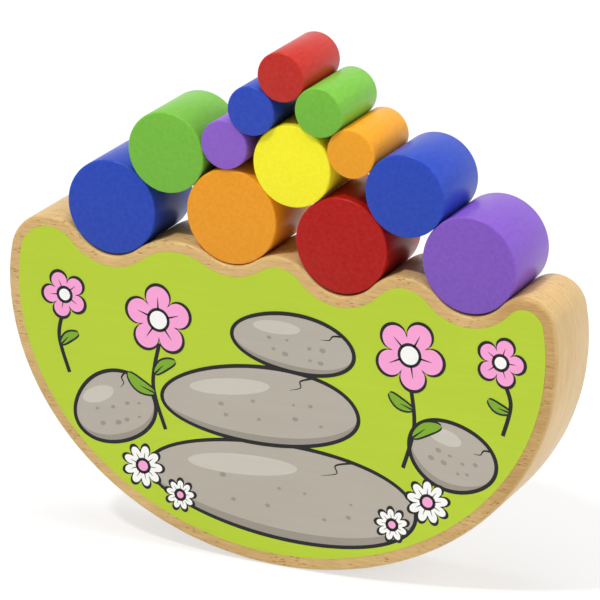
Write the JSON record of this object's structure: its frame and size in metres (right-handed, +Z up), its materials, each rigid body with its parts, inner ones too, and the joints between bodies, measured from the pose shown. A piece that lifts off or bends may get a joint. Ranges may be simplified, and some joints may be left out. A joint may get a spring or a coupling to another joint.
{
  "type": "wooden balance game",
  "caption": "Round-bellied wooden rocker with a printed front and a wavy top edge, whose hollows hold loose painted cylinders of several diameters stacked as a balance game.",
  "frame": {"origin": "under the middle of the rocker, at the lowest point of its belly, on the surface that it stands on", "axes": "+X along the rocker, +Y through it from the printed front to the bare back, +Z up"},
  "size_m": [0.2886, 0.0425, 0.2587],
  "materials": {
    "beech": "clear satin lacquer",
    "print": "satin ink film",
    "blue_paint": "satin paint",
    "orange_paint": "satin paint",
    "red_paint": "satin paint",
    "purple_paint": "satin paint",
    "green_paint": "satin paint",
    "yellow_paint": "satin paint"
  },
  "bodies": {
    "rocker": {"rocker_base": "beech", "front_print": "print"},
    "large_blue": {"large_blue_cylinder": "blue_paint"},
    "large_orange": {"large_orange_cylinder": "orange_paint"},
    "large_red": {"large_red_cylinder": "red_paint"},
    "large_purple": {"large_purple_cylinder": "purple_paint"},
    "medium_green": {"medium_green_cylinder": "green_paint"},
    "medium_yellow": {"medium_yellow_cylinder": "yellow_paint"},
    "medium_blue": {"medium_blue_cylinder": "blue_paint"},
    "small_purple": {"small_purple_cylinder": "purple_paint"},
    "small_orange": {"small_orange_cylinder": "orange_paint"},
    "small_blue": {"small_blue_cylinder": "blue_paint"},
    "small_green": {"small_green_cylinder": "green_paint"},
    "small_red": {"small_red_cylinder": "red_paint"}
  },
  "joints": [
    {"name": "large_blue_slide", "type": "slide", "parent": "rocker", "child": "large_blue", "axis": [0, -1, 0], "range_m": [-0.06, 0.06]},
    {"name": "large_orange_slide", "type": "slide", "parent": "rocker", "child": "large_orange", "axis": [0, -1, 0], "range_m": [-0.06, 0.06]},
    {"name": "large_red_slide", "type": "slide", "parent": "rocker", "child": "large_red", "axis": [0, -1, 0], "range_m": [-0.06, 0.06]},
    {"name": "large_purple_slide", "type": "slide", "parent": "rocker", "child": "large_purple", "axis": [0, -1, 0], "range_m": [-0.06, 0.06]},
    {"name": "medium_green_slide", "type": "slide", "parent": "rocker", "child": "medium_green", "axis": [0, -1, 0], "range_m": [-0.06, 0.06]},
    {"name": "medium_yellow_slide", "type": "slide", "parent": "rocker", "child": "medium_yellow", "axis": [0, -1, 0], "range_m": [-0.06, 0.06]},
    {"name": "medium_blue_slide", "type": "slide", "parent": "rocker", "child": "medium_blue", "axis": [0, -1, 0], "range_m": [-0.06, 0.06]},
    {"name": "small_purple_slide", "type": "slide", "parent": "rocker", "child": "small_purple", "axis": [0, -1, 0], "range_m": [-0.06, 0.06]},
    {"name": "small_orange_slide", "type": "slide", "parent": "rocker", "child": "small_orange", "axis": [0, -1, 0], "range_m": [-0.06, 0.06]},
    {"name": "small_blue_slide", "type": "slide", "parent": "rocker", "child": "small_blue", "axis": [0, -1, 0], "range_m": [-0.06, 0.06]},
    {"name": "small_green_slide", "type": "slide", "parent": "rocker", "child": "small_green", "axis": [0, -1, 0], "range_m": [-0.06, 0.06]},
    {"name": "small_red_slide", "type": "slide", "parent": "rocker", "child": "small_red", "axis": [0, -1, 0], "range_m": [-0.06, 0.06]}
  ]
}
